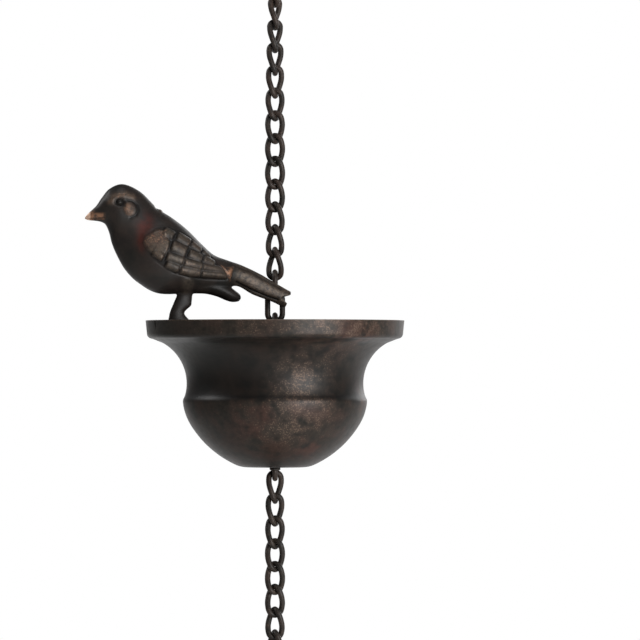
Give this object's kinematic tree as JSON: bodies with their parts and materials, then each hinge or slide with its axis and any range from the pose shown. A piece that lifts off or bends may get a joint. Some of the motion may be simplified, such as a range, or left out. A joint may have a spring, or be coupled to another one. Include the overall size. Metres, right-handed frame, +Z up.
{
  "type": "rain chain",
  "caption": "Hanging rain chain of twisted wire links with open flared cups between them, each with a drained bottom and a small cast bird perched on its lip.",
  "frame": {"origin": "the spot inside the top link's upper crown where a hook carries the chain", "axes": "+Z up along the hanging chain; +X is the picture's right and -Y its viewer for the second cup"},
  "size_m": [0.1228, 0.1511, 0.8773],
  "materials": {
    "chain": "satin antique bronze",
    "cup": "satin antique bronze with copper speckle",
    "bird": "antique bronze patina with worn copper edges"
  },
  "bodies": {
    "chain_1": {"chain_1": "chain"},
    "cup_1": {"cup_1": "cup", "bird_1": "bird", "long_loop_1": "chain", "weld_beads_1": "chain", "tail_link_1": "chain", "closing_link_1": "chain"},
    "chain_2": {"chain_2": "chain"},
    "cup_2": {"cup_2": "cup", "bird_2": "bird", "long_loop_2": "chain", "weld_beads_2": "chain", "tail_link_2": "chain", "closing_link_2": "chain"},
    "chain_3": {"chain_3": "chain"},
    "cup_3": {"cup_3": "cup", "bird_3": "bird", "long_loop_3": "chain", "weld_beads_3": "chain", "tail_link_3": "chain", "closing_link_3": "chain"},
    "chain_4": {"chain_4": "chain"},
    "cup_4": {"cup_4": "cup", "bird_4": "bird", "long_loop_4": "chain", "weld_beads_4": "chain", "tail_link_4": "chain", "closing_link_4": "chain"},
    "chain_5": {"chain_5": "chain"}
  },
  "joints": [
    {"name": "cup_1_tilt", "type": "hinge", "parent": "chain_1", "child": "cup_1", "pos_m": [0, 0, -0.0716], "axis": [0.1736, 0.9848, 0], "range_deg": [-30, 30]},
    {"name": "chain_2_swing", "type": "hinge", "parent": "cup_1", "child": "chain_2", "pos_m": [0, 0, -0.149], "axis": [-0.9848, 0.1736, 0], "range_deg": [-30, 30]},
    {"name": "cup_2_tilt", "type": "hinge", "parent": "chain_2", "child": "cup_2", "pos_m": [0, 0, -0.2986], "axis": [-1, 0, 0], "range_deg": [-30, 30]},
    {"name": "chain_3_swing", "type": "hinge", "parent": "cup_2", "child": "chain_3", "pos_m": [0, 0, -0.376], "axis": [0, -1, 0], "range_deg": [-30, 30]},
    {"name": "cup_3_tilt", "type": "hinge", "parent": "chain_3", "child": "cup_3", "pos_m": [0, 0, -0.5256], "axis": [-0.1045, -0.9945, 0], "range_deg": [-30, 30]},
    {"name": "chain_4_swing", "type": "hinge", "parent": "cup_3", "child": "chain_4", "pos_m": [0, 0, -0.603], "axis": [0.9945, -0.1045, 0], "range_deg": [-30, 30]},
    {"name": "cup_4_tilt", "type": "hinge", "parent": "chain_4", "child": "cup_4", "pos_m": [0, 0, -0.7526], "axis": [-0.8988, -0.4384, 0], "range_deg": [-30, 30]},
    {"name": "chain_5_swing", "type": "hinge", "parent": "cup_4", "child": "chain_5", "pos_m": [0, 0, -0.83], "axis": [0.4384, -0.8988, 0], "range_deg": [-30, 30]}
  ]
}
